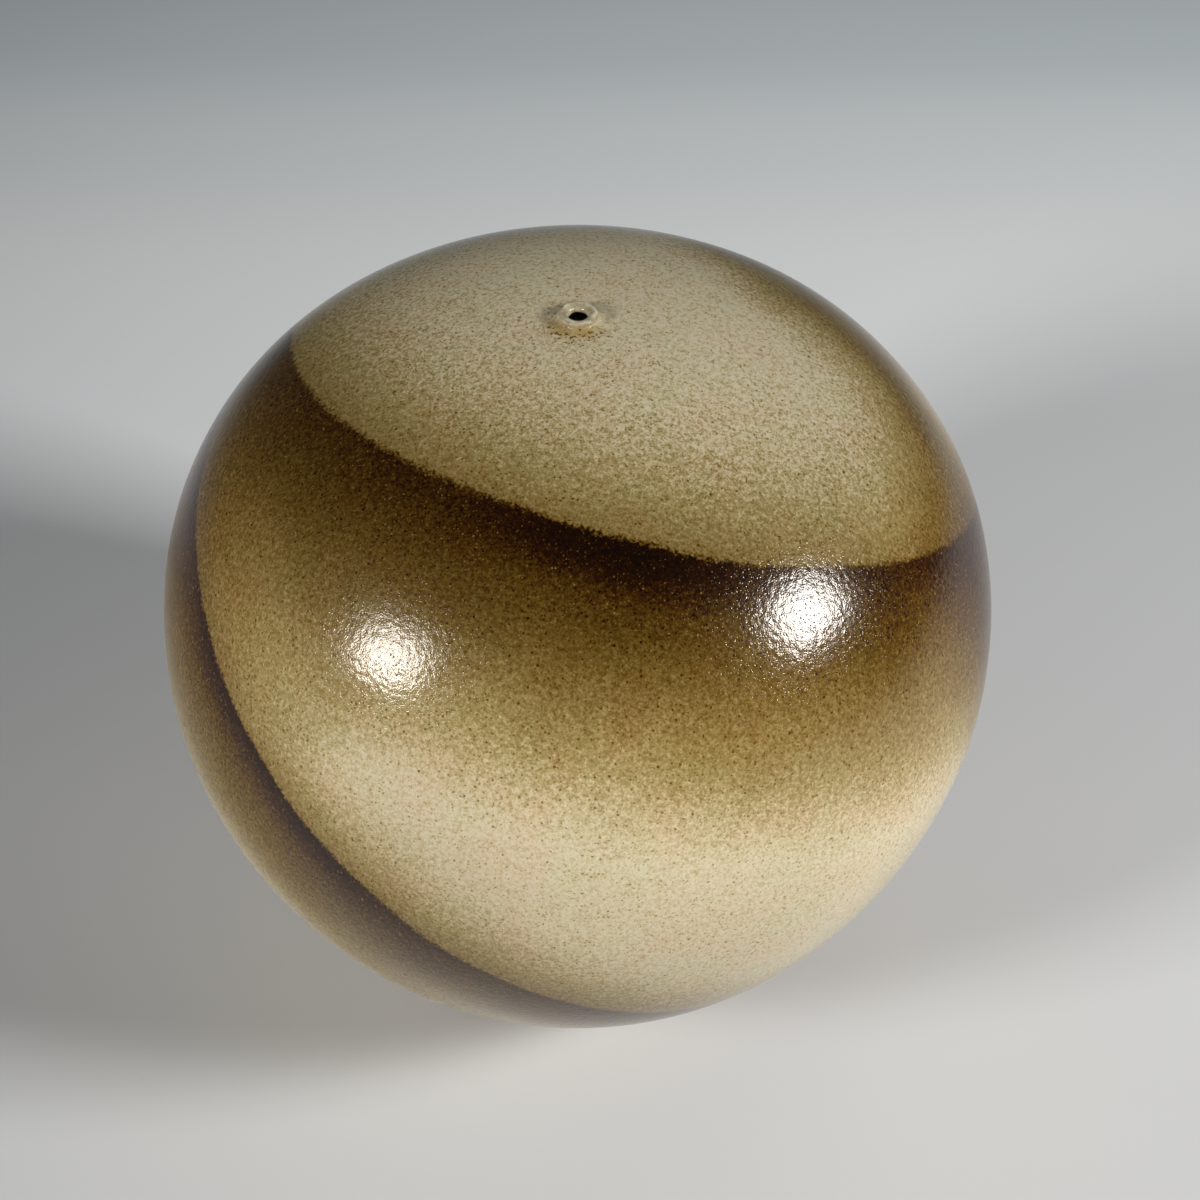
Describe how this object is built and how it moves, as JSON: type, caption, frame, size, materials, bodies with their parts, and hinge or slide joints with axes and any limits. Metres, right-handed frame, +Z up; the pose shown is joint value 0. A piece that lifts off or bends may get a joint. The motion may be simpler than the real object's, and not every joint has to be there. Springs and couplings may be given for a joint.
{
  "type": "stoneware bottle",
  "caption": "Closed round stoneware bottle for a single stem, with a tiny raised mouth, a turned foot ring and a sprayed satin glaze.",
  "frame": {"origin": "middle of the foot's underside, on the surface that the bottle stands on", "axes": "+Z up along the axis that the bottle was turned on, through the mouth; -Y towards the pictured front"},
  "size_m": [0.28, 0.28, 0.2676],
  "materials": {
    "bare_clay": "unglazed stoneware, fine grit, matt",
    "mouth_glaze": "thin pale glaze, glossy",
    "sprayed_glaze": "satin cream glaze with iron brown sprayed over it in soft bands"
  },
  "bodies": {
    "root": {"foot_ring": "bare_clay", "lower_bowl": "bare_clay", "upper_bowl": "bare_clay", "seam_coil": "bare_clay", "mouth_ring": "mouth_glaze", "glaze_coat": "sprayed_glaze"}
  },
  "joints": []
}
